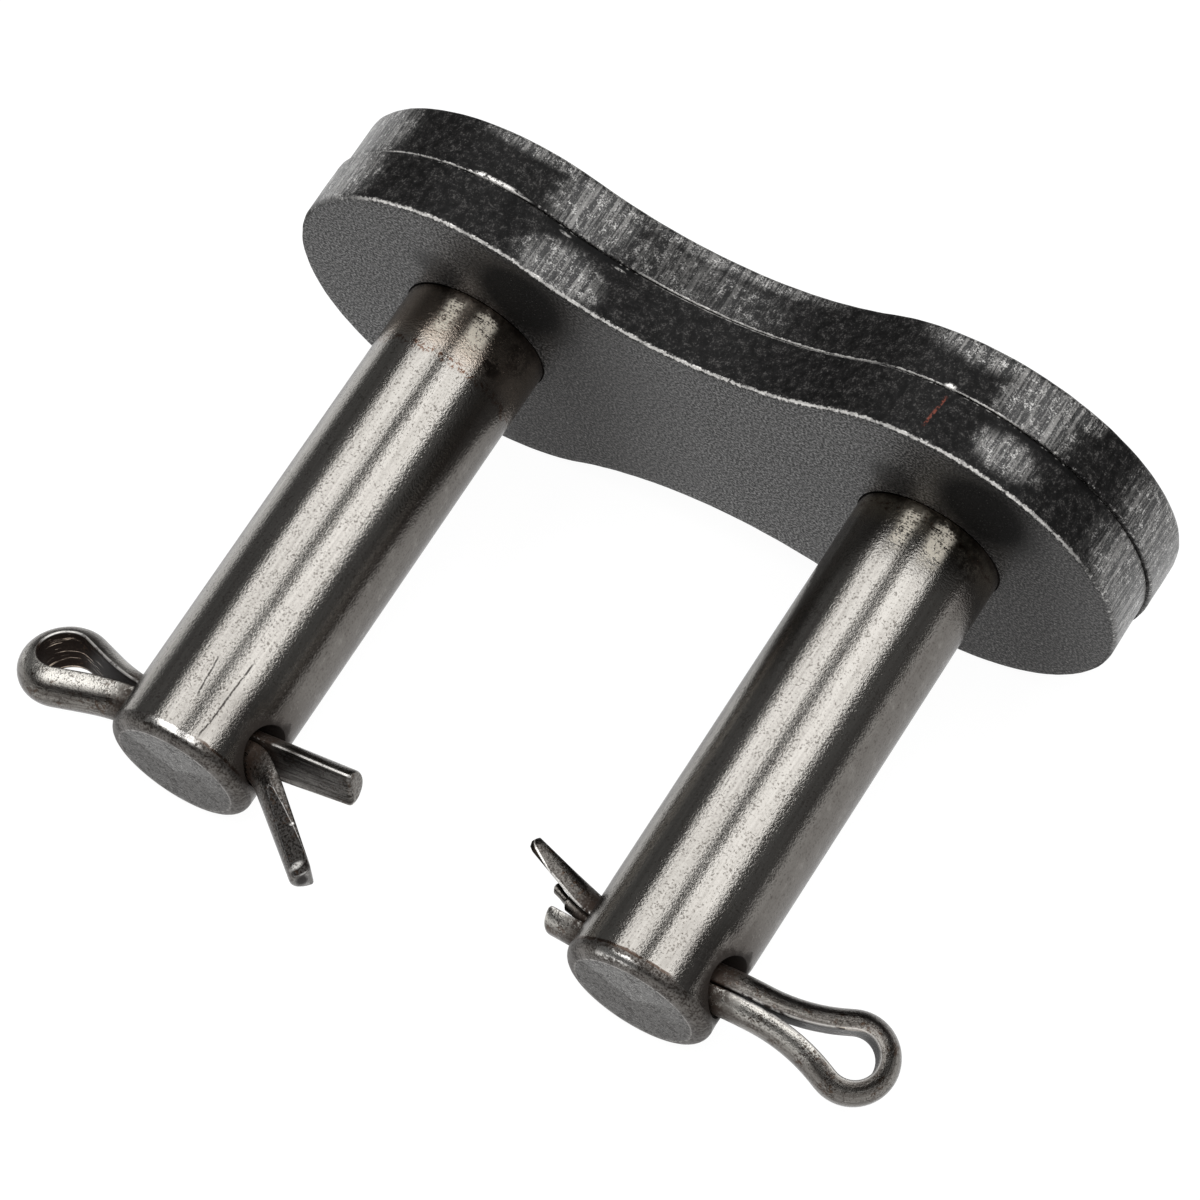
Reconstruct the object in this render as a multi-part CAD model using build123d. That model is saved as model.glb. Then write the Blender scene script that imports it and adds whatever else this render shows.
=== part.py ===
from build123d import *
import math
import os

# Connecting link of a heavy roller chain: a fixed plate with two riveted pins, a loose
# cover plate over them and a split cotter bent open through each pin's tip.
# All lengths in millimetres, all angles in degrees.
# Link axes: X from the left pin to the right, Z along the pins to their tips, Y upwards,
# the origin on the left pin's axis in the cover plate's front face.

# Driving sizes of the chain
pitch = 31.75
pin_d = 9.53
pin_reach = 33.6
tip_round = 0.9
rivet_stand = 1.0
rivet_round = 0.4

# Plates. The fixed plate is a little thinner, and its outline is punched a little off
# its bores.
plate_t = 3.75
fixed_t = 3.6
fixed_offset = 0.27
lobe_r = 12.6
waist_half = 8.8
edge_round = 0.3
seam_gap = 0.05
bore_clearance = 0.08

# Half-round wire of the cotters, and the cross holes that they pass
wire_d = 2.9
limb_gap = 0.12
tip_break = 0.25
hole_play = 0.9
hole_inset = 3.05

# Right cotter. A place along a cotter is counted from the pin's surface outwards, and
# its limbs part inside the hole, a given depth past the pin's axis.
right_azimuth = 7.8
right_tilt = 0.3
right_roll = 11.3
right_shift = 0.3
right_parting = 2.1
right_eye_r = 1.4
right_eye_out = 8.135
right_neck_out = 2.235
right_flank_angle = 23.663
droop = 26
droop_out = 0.195
droop_len = 2.0
long_lean = 11
long_bend = 12.5
long_bend_r = 7.0
long_run = 4.65
bevel_angle = 18.2
bevel_rise = 0.57
short_r = 110.0
short_out = 2.4

# Left cotter
left_azimuth = 189.8
left_tilt = -2.7
left_roll = 199.2
left_shift = 0.13
left_parting = 2.5
left_eye_r = 1.58
left_eye_out = 5.985
left_neck_out = -1.465
left_flank_angle = 18.315
straight_r = 140.0
straight_run = 6.2
bent_start = -0.365
bent_angle = 31
bent_twist = 28
bent_r = 3.0
bent_run = 5.55

pin_r = pin_d / 2
wire_r = wire_d / 2
half_gap = limb_gap / 2
hole_d = wire_d + hole_play
hole_z = pin_reach - hole_inset
back_z = -plate_t - seam_gap - fixed_t


def plate_outline():
    # Two round lobes joined by a waist of hollow arcs tangent to both
    rise = lobe_r - waist_half
    hollow = (pitch**2 / 4 + waist_half**2 - lobe_r**2) / (2 * rise)
    mid = pitch / 2
    touch = lobe_r / (lobe_r + hollow)
    tx = mid * touch
    ty = (waist_half + hollow) * touch
    low_left = (tx, -ty)
    low_right = (pitch - tx, -ty)
    up_right = (pitch - tx, ty)
    up_left = (tx, ty)
    edges = ThreePointArc(low_left, (mid, -waist_half), low_right)
    edges += ThreePointArc(low_right, (pitch + lobe_r, 0), up_right)
    edges += ThreePointArc(up_right, (mid, waist_half), up_left)
    edges += ThreePointArc(up_left, (-lobe_r, 0), low_left)
    return make_face(edges)


def plate(z_low, thick, offset, bore_r):
    # Punched plate, its rims lightly rounded on both faces before the bores are cut
    body = extrude(Pos(offset, 0, z_low) * plate_outline(), thick)
    faces = body.faces().filter_by(Axis.Z)
    body = fillet(faces.edges(), edge_round)
    for x in (0, pitch):
        body -= Pos(x, 0, z_low + thick / 2) * Cylinder(bore_r, 2 * thick)
    return body


def pin(x, hole_azimuth):
    # Riveted end behind the fixed plate, rounded tip, cross hole near the tip
    length = pin_reach - back_z + rivet_stand
    low = back_z - rivet_stand
    body = Cylinder(pin_r, length, align=(Align.CENTER, Align.CENTER, Align.MIN))
    rims = body.edges().filter_by(GeomType.CIRCLE).sort_by(Axis.Z)
    body = fillet(rims[-1], tip_round)
    rims = body.edges().filter_by(GeomType.CIRCLE).sort_by(Axis.Z)
    body = fillet(rims[0], rivet_round)
    body = Pos(x, 0, low) * body
    drill = Rot(0, 90, 0) * Cylinder(hole_d / 2, 4 * pin_r)
    return body - Pos(x, 0, hole_z) * Rot(0, 0, hole_azimuth) * drill


def limb(at, along, rounded, steps):
    # Half-round bar laid out step by step from a point on its flat face. Steps are
    # ("run", length), ("out", angle, radius) towards the round side, ("in", angle,
    # radius) towards the flat side and ("side", angle, radius, +1 or -1).
    spot = Vector(at)
    t = Vector(along)
    u = Vector(rounded)
    solids = []
    for step in steps:
        s = u.cross(t)
        disc = Pos(0, -half_gap) * Circle(wire_r)
        half = Pos(0, wire_r) * Rectangle(4 * wire_r, 2 * wire_r)
        section = Plane(origin=spot, x_dir=s, z_dir=t) * (disc & half)
        if step[0] == "run":
            solids.append(extrude(section, step[1]))
            spot = spot + t * step[1]
            continue
        angle = math.radians(step[1])
        radius = step[2]
        way = {"out": u, "in": -u, "side": s}[step[0]]
        if step[0] == "side":
            way = way * step[3]
        hinge = Axis(spot + way * radius, t.cross(way))
        solids.append(revolve(section, hinge, step[1]))
        spot = spot + t * (radius * math.sin(angle)) + way * (radius * (1 - math.cos(angle)))
        turned = t * math.cos(angle) + way * math.sin(angle)
        if step[0] != "side":
            lean = 1 if step[0] == "out" else -1
            u = u * math.cos(angle) - t * (lean * math.sin(angle))
        t = turned
    return solids


def eye_steps(start, neck, centre, inner_r, flank_angle, droop, droop_at, droop_len):
    # A whole eye, from the shank out along one limb and back along the other: an
    # optional droop, a reverse arc, a straight flank and the loop, then the same back.
    # The reverse arc's radius follows from how steeply the flank opens.
    slope = math.radians(flank_angle)
    depth = centre - neck
    rise = depth * math.sin(slope) + half_gap * math.cos(slope) - inner_r
    neck_r = rise / (1 - math.cos(slope))
    flank = (depth - (inner_r + neck_r) * math.sin(slope)) / math.cos(slope)
    steps = [("run", neck - start)]
    if droop:
        steps = [("run", droop_at - start)]
        steps.append(("side", droop, droop_len / math.radians(droop), -1))
        steps.append(("run", neck - droop_at - droop_len))
    steps.append(("out", flank_angle, neck_r))
    steps.append(("run", flank))
    return steps + [("in", 180 + 2 * flank_angle, inner_r)] + steps[::-1]


def cotter(eye, leg_up, leg_low, start):
    # Cotter in its own axes: X along the shank to the eye, Y across the split, Z square
    # to both, the way the eye droops
    solids = limb((start, half_gap, 0), (1, 0, 0), (0, 1, 0), eye)
    solids += limb((start, half_gap, 0), (-1, 0, 0), (0, 1, 0), leg_up)
    solids += limb((start, -half_gap, 0), (-1, 0, 0), (0, -1, 0), leg_low)
    body = solids[0]
    for piece in solids[1:]:
        body += piece
    return body


def blunt(body):
    # Breaks the rim of both cut ends of a cotter's legs, known by their half-round area
    whole = math.pi * wire_r**2 / 2 - wire_d * half_gap
    for end in range(2):
        faces = body.faces().filter_by(GeomType.PLANE)
        faces = [face for face in faces if face.center().X < -pin_r]
        cuts = [face for face in faces if abs(face.area / whole - 1) < 0.01]
        body = chamfer(cuts[0].edges(), tip_break)
    return body


def bevel():
    # What is ground off the long leg's round back, to a thin point
    block = Box(4 * pin_r, 2 * wire_d, 2 * wire_d, align=(Align.MAX, Align.MAX, Align.CENTER))
    return Pos(-pin_r, -wire_r - bevel_rise, 0) * Rot(0, 0, bevel_angle) * block


def seat(x, z, azimuth, tilt, roll):
    # Place of a cotter's axes in the link: where its shank crosses the pin's axis, the
    # way its eye points and how it is rolled about its shank
    az = math.radians(azimuth)
    ti = math.radians(tilt)
    ro = math.radians(roll)
    out = Vector(math.cos(az) * math.cos(ti), math.sin(az) * math.cos(ti), math.sin(ti))
    e1 = Vector(-math.cos(az) * math.sin(ti), -math.sin(az) * math.sin(ti), math.cos(ti))
    e2 = out.cross(e1)
    across = e1 * math.cos(ro) + e2 * math.sin(ro)
    return Plane(origin=(x, 0, z), x_dir=out, z_dir=out.cross(across)).location


right_eye = eye_steps(
    right_parting, pin_r + right_neck_out, pin_r + right_eye_out, right_eye_r,
    right_flank_angle, droop, pin_r + droop_out, droop_len)
long_r = (right_parting + pin_r) / math.sin(math.radians(long_lean))
right_long = [("out", long_lean, long_r), ("out", long_bend, long_bend_r), ("run", long_run)]
right_short = [("in", math.degrees((right_parting + pin_r + short_out) / short_r), short_r)]
right_local = blunt(cotter(right_eye, right_short, right_long, right_parting))
right_local -= bevel()

left_eye = eye_steps(
    left_parting, pin_r + left_neck_out, pin_r + left_eye_out, left_eye_r, left_flank_angle,
    0, 0, 0)
left_straight = [
    ("out", math.degrees((left_parting + pin_r) / straight_r), straight_r),
    ("run", straight_run)]
left_bent = [
    ("run", left_parting + pin_r + bent_start), ("out", bent_angle, bent_r),
    ("side", bent_twist, bent_r, -1), ("run", bent_run)]
left_local = blunt(cotter(left_eye, left_straight, left_bent, left_parting))

right_seat = seat(pitch, hole_z + right_shift, right_azimuth, right_tilt, right_roll)
left_seat = seat(0, hole_z + left_shift, left_azimuth, left_tilt, left_roll)
nodes = {
    "fixed_plate": plate(back_z, fixed_t, fixed_offset, pin_r),
    "cover_plate": plate(-plate_t, plate_t, 0, pin_r + bore_clearance),
    "pin_left": pin(0, left_azimuth),
    "pin_right": pin(pitch, right_azimuth),
    "cotter_left": left_seat * left_local,
    "cotter_right": right_seat * right_local,
}

# The link lies on the cover plate's front rim and the two pin tips: the floor touches
# both roundings, and the lean of the pins follows from the driving sizes.
drop_y = (lobe_r - edge_round) - (pin_r - tip_round)
drop_z = (pin_reach - tip_round) + edge_round
lean = math.atan2(drop_y, drop_z)
lean -= math.asin((tip_round - edge_round) / math.hypot(drop_y, drop_z))
lay = Rot(90 + math.degrees(lean), 0, 0)
box = Compound([lay * part for part in nodes.values()]).bounding_box()
stand = Pos(-(box.min.X + box.max.X) / 2, -(box.min.Y + box.max.Y) / 2, -box.min.Z)

os.makedirs("parts", exist_ok=True)
for name, part in nodes.items():
    placed = stand * lay * part
    solid = placed.solids()[0]
    solid.label = name
    export_step(solid, "parts/" + name + ".step")
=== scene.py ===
# %% [markdown]
# # A connecting link of a heavy roller chain
# Two black plates lie face to face. Two ground pins are riveted through the rear plate,
# the front plate slides over them, and a split cotter is bent open through each tip.
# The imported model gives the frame, and every piece is made in its axes, in metres.

# %% Load the frame
import bpy
import bmesh
import math
from mathutils import Matrix, Vector, noise


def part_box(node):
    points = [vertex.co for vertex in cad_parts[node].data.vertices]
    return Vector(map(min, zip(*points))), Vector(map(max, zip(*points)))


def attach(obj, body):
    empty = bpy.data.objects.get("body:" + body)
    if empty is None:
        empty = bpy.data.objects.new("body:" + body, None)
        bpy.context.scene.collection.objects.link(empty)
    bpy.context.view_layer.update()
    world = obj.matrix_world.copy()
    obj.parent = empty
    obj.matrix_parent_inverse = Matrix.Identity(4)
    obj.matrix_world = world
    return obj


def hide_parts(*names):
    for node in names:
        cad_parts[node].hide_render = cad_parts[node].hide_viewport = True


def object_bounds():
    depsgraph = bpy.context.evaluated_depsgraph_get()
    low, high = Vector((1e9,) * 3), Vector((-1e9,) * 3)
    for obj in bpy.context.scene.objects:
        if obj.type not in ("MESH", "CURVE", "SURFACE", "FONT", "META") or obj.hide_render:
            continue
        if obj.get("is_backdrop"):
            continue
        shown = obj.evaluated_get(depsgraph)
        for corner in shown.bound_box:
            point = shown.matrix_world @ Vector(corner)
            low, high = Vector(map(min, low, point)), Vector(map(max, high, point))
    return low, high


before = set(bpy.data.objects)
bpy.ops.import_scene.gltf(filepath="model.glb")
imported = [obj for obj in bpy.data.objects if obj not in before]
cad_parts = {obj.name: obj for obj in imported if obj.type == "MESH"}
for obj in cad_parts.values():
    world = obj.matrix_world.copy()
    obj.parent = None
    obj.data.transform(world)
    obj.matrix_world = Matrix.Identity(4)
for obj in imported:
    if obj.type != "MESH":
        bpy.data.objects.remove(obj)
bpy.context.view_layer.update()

# %% [markdown]
# ## The link's own axes
# The link leans on one plate's rim and the two tips, so nothing in it is level. Each piece
# is shaped in the link's own axes, in millimetres: X from the left pin to the right, Z
# along the pins to their tips, Y up. One matrix then takes the mesh to where the CAD has
# it. Its turn comes from how the link rests, and its shift from the middle of the cover
# plate, which is the same in both.

# %% Sizes and the way from link axes to the frame
MM = 0.001
PITCH, PIN_R, REACH = 31.75, 4.765, 33.6
TIP_ROUND, RIVET_STAND, RIVET_ROUND = 0.9, 1.0, 0.4
COVER_T, REAR_T, REAR_OFFSET, SEAM = 3.75, 3.6, 0.27, 0.05
LOBE_R, WAIST, EDGE_ROUND, WORN_ROUND = 12.6, 8.8, 0.3, 0.14
BORE_PLAY = 0.08
LEFT_AZIMUTH, RIGHT_AZIMUTH = 189.8, 7.8
BACK = -COVER_T - SEAM - REAR_T


def in_mm(lengths):
    return [round(length * 1000, 2) for length in lengths]


def axes_at(spot, axes):
    return Matrix.Translation(spot) @ Matrix(axes).transposed().to_4x4()


def in_scene(name, data):
    made = bpy.data.objects.new(name, data)
    bpy.context.scene.collection.objects.link(made)
    return made


drop_y = (LOBE_R - EDGE_ROUND) - (PIN_R - TIP_ROUND)
drop_z = (REACH - TIP_ROUND) + EDGE_ROUND
lean = math.atan2(drop_y, drop_z)
lean -= math.asin((TIP_ROUND - EDGE_ROUND) / math.hypot(drop_y, drop_z))
laid = Matrix.Rotation(math.radians(90) + lean, 4, "X")
low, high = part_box("cover_plate")
middle = laid @ Vector((PITCH / 2, 0, -COVER_T / 2)) * MM
TO_FRAME = Matrix.Translation((low + high) / 2 - middle) @ laid @ Matrix.Scale(MM, 4)
FROM_FRAME = TO_FRAME.inverted()
print("lean", round(math.degrees(lean), 3), "origin", in_mm(TO_FRAME.translation))

# %% [markdown]
# ## The camera
# A long lens well above the link, looking down its pins from the right. It keeps the pins
# almost parallel, which gives a catalogue picture its calm look.

# %% Set the camera
camera = bpy.data.cameras.new("view_camera")
camera.lens, camera.sensor_width = 193.34, 36
camera.clip_start, camera.clip_end = 0.01, 20
view = in_scene("view_camera", camera)
right = Vector((0.84426738, 0.53583344, -0.00975222))
up = Vector((-0.40223648, 0.64558497, 0.64917321))
back = Vector((0.3541446, -0.54415307, 0.76057809))
stand = TO_FRAME @ Vector((150.971, 328.905, 146.779))
view.matrix_world = axes_at(stand, (right, up, back))
bpy.context.scene.camera = view
print("camera at", in_mm(stand), "degrees down", round(math.degrees(math.asin(back.z)), 1))

# %% [markdown]
# ## Helpers for the finishes
# A finish is a tree of shader nodes. Written one by one they hide what they work out, so
# one small class stands for a node's output and lets it be added and multiplied like a
# number, and another makes the nodes of a finish and links them.

# %% A node's output that works like a number
class Sum:
    def __init__(self, finish, socket):
        self.finish, self.socket = finish, socket

    def math(self, operation, a, b=None):
        values = {0: a} if b is None else {0: a, 1: b}
        return self.finish.node("ShaderNodeMath", {"operation": operation}, values)

    def __add__(self, other): return self.math("ADD", self, other)
    def __radd__(self, other): return self.math("ADD", other, self)
    def __sub__(self, other): return self.math("SUBTRACT", self, other)
    def __rsub__(self, other): return self.math("SUBTRACT", other, self)
    def __mul__(self, other): return self.math("MULTIPLY", self, other)
    def __rmul__(self, other): return self.math("MULTIPLY", other, self)
    def __pow__(self, other): return self.math("POWER", self, other)
    def __abs__(self): return self.math("ABSOLUTE", self)
    def least(self, other): return self.math("MINIMUM", self, other)
    def most(self, other): return self.math("MAXIMUM", self, other)

# %% A finish and its nodes
class Finish:
    def __init__(self, name):
        self.material = bpy.data.materials.new(name)
        self.material.use_nodes = True
        self.tree = self.material.node_tree
        self.tree.nodes.clear()

    def node(self, kind, settings=None, values=None, out=0):
        made = self.tree.nodes.new(kind)
        for key, value in (settings or {}).items():
            setattr(made, key, value)
        for key, value in (values or {}).items():
            if isinstance(value, Sum):
                self.tree.links.new(value.socket, made.inputs[key])
            else:
                made.inputs[key].default_value = value
        return Sum(self, made.outputs[out])

    def place(self, x=0.0):
        """The point in link axes, in millimetres, counted from a pin's axis."""
        spot = self.node("ShaderNodeTexCoord", out=3)
        return self.node("ShaderNodeMapping", {}, {
            "Vector": spot, "Location": FROM_FRAME.translation - Vector((x, 0, 0)),
            "Rotation": FROM_FRAME.to_euler(), "Scale": (1000, 1000, 1000)})

    def split(self, vector):
        return [self.node("ShaderNodeSeparateXYZ", {}, {0: vector}, out=i) for i in range(3)]

    def vector(self, operation, a, b):
        return self.node("ShaderNodeVectorMath", {"operation": operation}, {0: a, 1: b})

    def stretch(self, vector, scale):
        return self.vector("MULTIPLY", vector, scale)

    def grain(self, vector, scale, detail, rough):
        return self.node("ShaderNodeTexNoise", {}, {
            "Vector": vector, "Scale": scale, "Detail": detail, "Roughness": rough})

    def ease(self, value, start, end, low=0.0, high=1.0):
        return self.node("ShaderNodeMapRange", {"interpolation_type": "SMOOTHSTEP"}, {
            0: value, 1: start, 2: end, 3: low, 4: high})

    def between(self, value, start, end, soft):
        rising = self.ease(value, start - soft, start + soft)
        return rising * self.ease(value, end + soft, end - soft)

    def bands(self, value, bands):
        """The strongest of some bands, each a start, an end, a softness and a share."""
        best = 0.0
        for start, end, soft, share in bands:
            best = (self.between(value, start, end, soft) * share).most(best)
        return best

    def spot(self, place, centre, radii):
        """1 in the middle of an egg-shaped spot, 0 outside it."""
        away = self.stretch(self.vector("SUBTRACT", place, centre), [1 / r for r in radii])
        away = self.node("ShaderNodeVectorMath", {"operation": "LENGTH"}, {0: away}, out=1)
        return self.ease(away, 1.0, 0.4)

    def tint(self, share, under, over):
        under, over = [c if isinstance(c, Sum) else (*c, 1) for c in (under, over)]
        values = {0: share, 6: under, 7: over}
        return self.node("ShaderNodeMix", {"data_type": "RGBA"}, values, out=2)

    def coats(self, colour, coats):
        """Lays coats over a colour in turn, each a share, its strength and its colour."""
        for share, strength, over in coats:
            colour = self.tint(share * strength, colour, over)
        return colour

    def relief(self, height, strength, micron):
        return self.node("ShaderNodeBump", {}, {
            "Strength": strength, "Distance": micron * 1e-6, "Height": height})

    def skin(self, values, share=None, dirt=None):
        """One surface, or two: a share mixes in a matte one, with what its dirt says; the share
        also carries painted shade.
        """
        out = self.tree.nodes.new("ShaderNodeOutputMaterial")
        shader = self.node("ShaderNodeBsdfPrincipled", {}, values)
        if dirt:
            matte = {key: values[key] for key in ("Base Color", "Normal")}
            matte = {**matte, "Specular IOR Level": 0.1, **dirt}
            matte = self.node("ShaderNodeBsdfPrincipled", {}, matte)
            shader = self.node("ShaderNodeMixShader", {}, {0: share, 1: shader, 2: matte})
        self.tree.links.new(shader.socket, out.inputs["Surface"])
        return self.material


print("finish helpers ready")

# %% [markdown]
# ## Floor and studio light
# Bright steel shows its surroundings more than itself. The pins want a white table below,
# two wide soft lamps overhead with a narrow dark gap between them, and a dim room: each
# lamp then draws one light band along a pin, the gap and the room draw the dark streaks.
# The table glows a little, so that shadows stay faint on it.

# %% The table
def meshed(bm, name, finish):
    mesh = bpy.data.meshes.new(name)
    bm.to_mesh(mesh)
    bm.free()
    mesh.materials.append(finish)
    return mesh


table_white = Finish("table_white").skin({
    "Base Color": (0.12, 0.12, 0.12, 1), "Roughness": 0.9, "Specular IOR Level": 0.0,
    "Emission Color": (1.0, 1.0, 1.0, 1), "Emission Strength": 0.95})
bm = bmesh.new()
bmesh.ops.create_grid(bm, x_segments=1, y_segments=1, size=2.0)
table = in_scene("table", meshed(bm, "table", table_white))
table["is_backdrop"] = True
print("table", in_mm(table.dimensions), "mm")

# %% Lamps and the dim room
def soft_lamp(name, x_low, x_high, y_low, y_high, height, glow):
    lamp = bpy.data.lights.new(name, "AREA")
    lamp.shape = "RECTANGLE"
    lamp.size, lamp.size_y = x_high - x_low, y_high - y_low
    lamp.energy = glow * math.pi * lamp.size * lamp.size_y
    place = in_scene(name, lamp)
    place.location = ((x_low + x_high) / 2, (y_low + y_high) / 2, height)
    print(name, "gives", round(lamp.energy, 2), "W")


soft_lamp("lamp_right", 0.092, 0.615, -0.75, 0.5, 0.6, 2.3)
soft_lamp("lamp_left", -0.503, -0.048, -0.75, 0.5, 0.6, 2.15)

room = bpy.data.worlds.new("dim_room")
room.use_nodes = True
room.node_tree.nodes["Background"].inputs[0].default_value = (0.13, 0.13, 0.13, 1)
bpy.context.scene.world = room
bpy.context.scene.view_settings.view_transform = "Standard"

# %% [markdown]
# ## The two plates
# Each plate is punched from bar: two round lobes joined by a hollow waist, with a bore in
# each lobe. A vertex spun round the centres of those arcs draws their line. One
# lobe is bridged to its bore, so that the face is a ring of neat quads, and is made again
# in mirror image for the other lobe. Both are pulled to thickness and their rims rounded.
# The rear plate's punch sat a little off its bores, so there the bore is shifted in each
# half before they are joined.

# %% The line of one lobe
WAIST_STEPS, LOBE_STEPS = 30, 150
HOLLOW = (PITCH**2 / 4 + WAIST**2 - LOBE_R**2) / (2 * (LOBE_R - WAIST))
TURN_WAIST = math.asin(PITCH / 2 / (LOBE_R + HOLLOW))
TURN_LOBE = math.pi + 2 * TURN_WAIST


def only_verts(geom):
    return [g for g in geom if isinstance(g, bmesh.types.BMVert)]


def only_edges(geom):
    return [g for g in geom if isinstance(g, bmesh.types.BMEdge)]


def verts_of(parts):
    return list({v for part in parts for v in part.verts})


def bevelled(bm, geom, size, steps, affect="EDGES"):
    bmesh.ops.bevel(
        bm, geom=geom, offset=size, offset_type="OFFSET", affect=affect, segments=steps,
        profile=0.5, material=-1)


def lobe_line(bm):
    old = set(bm.edges)
    mid, high = PITCH / 2, WAIST + HOLLOW
    arcs = (
        ((mid, high, 0), -TURN_WAIST, WAIST_STEPS), ((0, 0, 0), TURN_LOBE, LOBE_STEPS),
        ((mid, -high, 0), -TURN_WAIST, WAIST_STEPS))
    first = bm.verts.new((mid, WAIST, 0))
    tip = [first]
    for centre, turn, steps in arcs:
        made = bmesh.ops.spin(bm, geom=tip, cent=centre, axis=(0, 0, 1), angle=turn, steps=steps)
        tip = only_verts(made["geom_last"])
    last = bm.edges.new((tip[0], first))
    bmesh.ops.subdivide_edges(bm, edges=[last], cuts=WAIST_STEPS - 1)
    return [e for e in bm.edges if e not in old]


def inside_line(x, y):
    """How far a point of a plate lies in from its outline."""
    x, y = min(x, PITCH - x), abs(y)
    if math.atan2(y, x) > math.pi / 2 - TURN_WAIST:
        return LOBE_R - math.hypot(x, y)
    return math.hypot(x - PITCH / 2, y - WAIST - HOLLOW) - HOLLOW


print("waist hollow", round(HOLLOW, 3), "mm")

# %% A finished mesh becomes a piece
def made_piece(bm, name, body, node, finish):
    """A mesh in link axes, taken to the frame and hung on its body."""
    bmesh.ops.transform(bm, matrix=TO_FRAME, verts=bm.verts)
    bmesh.ops.recalc_face_normals(bm, faces=bm.faces)
    mesh = meshed(bm, name, finish)
    mesh.shade_smooth()
    mesh.set_sharp_from_angle(angle=math.radians(30))
    piece = in_scene(name, mesh)
    piece.modifiers.new("even_shading", "WEIGHTED_NORMAL").keep_sharp = True
    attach(piece, body)
    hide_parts(node)
    print(name, len(mesh.polygons), "faces, sides", in_mm(piece.dimensions))

# %% A plate from its lines
ON_LINE = 0.01
RIM_STEPS, WALL_CUTS, RING_CUTS = 4, 9, 7


def lobe_face(bm, bore_r, bore_x):
    line = lobe_line(bm)
    bore = bmesh.ops.create_circle(
        bm, segments=len(line), radius=bore_r, matrix=Matrix.Translation((bore_x, 0, 0)))
    bore_edges = list({e for v in bore["verts"] for e in v.link_edges})
    ring = bmesh.ops.bridge_loops(bm, edges=line + bore_edges)
    spokes = [e for e in ring["edges"] if e not in line and e not in bore_edges]
    bmesh.ops.subdivide_edges(bm, edges=spokes, cuts=RING_CUTS, use_grid_fill=True)


def on_outline(v, offset):
    return inside_line(v.co.x - offset, v.co.y) < ON_LINE


def round_rim(bm, z, offset, size):
    rim = [
        e for e in bm.edges if e.calc_face_angle(0) > 1
        and all(abs(v.co.z - z) < ON_LINE and on_outline(v, offset) for v in e.verts)]
    bevelled(bm, rim, size, RIM_STEPS)


def rough_wall(bm, offset, seed):
    """Stores each point's way in from the outline, and makes the wall uneven."""
    inset = bm.verts.layers.float.new("inset")
    for v in bm.verts:
        v[inset] = max(0.0, inside_line(v.co.x - offset, v.co.y))
        if v[inset] < EDGE_ROUND + ON_LINE:
            x, y, z = v.co
            away = Vector((x - min(max(x, 0), PITCH), y, 0)).normalized()
            bumpy = noise.noise(Vector((x * 0.9, y * 0.9, z * 0.5 + seed * 9)))
            fine = noise.noise(Vector((x * 2.5, y * 2.5, z * 0.7 + seed * 5)))
            v.co -= away * (0.03 + 0.03 * bumpy + 0.012 * fine)


def rolled_plate(z_low, thick, offset, bore_r, round_low, round_high, seed):
    bm = bmesh.new()
    lobe_face(bm, bore_r, offset)
    flip = Matrix.Translation((PITCH, 0, 0)) @ Matrix.Scale(-1, 4, (1, 0, 0))
    bmesh.ops.transform(bm, matrix=flip, verts=bm.verts)
    lobe_face(bm, bore_r, -offset)
    bmesh.ops.remove_doubles(bm, verts=bm.verts, dist=1e-3)
    bmesh.ops.translate(bm, verts=bm.verts, vec=(offset, 0, z_low))
    bmesh.ops.recalc_face_normals(bm, faces=bm.faces)
    top = bmesh.ops.extrude_face_region(bm, geom=bm.faces[:])
    bmesh.ops.translate(bm, verts=only_verts(top["geom"]), vec=(0, 0, thick))
    round_rim(bm, z_low, offset, round_low)
    round_rim(bm, z_low + thick, offset, round_high)
    across = [
        e for e in bm.edges if abs(e.verts[0].co.z - e.verts[1].co.z) > thick / 2
        and on_outline(e.verts[0], offset)]
    bmesh.ops.subdivide_edges(bm, edges=across, cuts=WALL_CUTS, use_grid_fill=True)
    rough_wall(bm, offset, seed)
    return bm

# %% [markdown]
# ### Black oxide
# The plates are hot rolled, punched and blackened. Their faces keep the fine grain of the
# scale, and their punched walls show three things: lines drawn across the thickness by
# the punch, torn patches, and salt-like specks where the black has rubbed off. Some torn
# patches sit where the lamps glance off the wall, and their lighter lines and glints are
# painted sheen. Handling has worn the sharp rims down to bright steel; along the upper rims
# that line is partly a painted highlight. The cover has painted shadow along parts of the
# seam, and painted shade and a painted shadow on its face beside each pin. The inset
# attribute holds how far each point lies in from the outline, so the finish knows rims,
# walls and faces apart.

# %% The scale's colours, and what wears and soils them
def oxide_colour(f, wall, patch, fine, lumps, dust, lines):
    """Grainy faces, and walls with specks, and combed lines and glints where torn, lighter as
    painted sheen.
    """
    face = f.tint(f.ease(fine, 0.42, 0.66), (0.001, 0.001, 0.001), (0.12, 0.115, 0.112))
    face = f.coats(face, [
        (f.ease(fine + (lumps - 0.5) * 0.3, 0.64, 0.74), 0.5, (0.17, 0.16, 0.155)),
        (f.ease(fine * 0.6 + dust * 0.4, 0.6, 0.66), 0.7, (0.32, 0.31, 0.3))])
    salt = f.ease(dust * 0.4 + fine * 0.3 + lumps * 0.3, 0.51, 0.62)
    # the lighter combed lines and the glints in the torn patches are painted sheen
    combed = f.ease(lines * 0.6 + dust * 0.4, 0.46, 0.58) * patch
    painted_glint = f.ease(dust * 0.5 + lumps * 0.5, 0.54, 0.62) * patch
    side = f.tint(f.ease(lumps, 0.35, 0.65), (0.003, 0.0029, 0.0029), (0.011, 0.0105, 0.0105))
    return f.tint(wall, face, f.coats(side, [
        (salt, 0.5, (0.14, 0.134, 0.129)), (combed, 0.85, (0.27, 0.263, 0.253)),
        (painted_glint, 0.85, (0.66, 0.65, 0.63))]))


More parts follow.
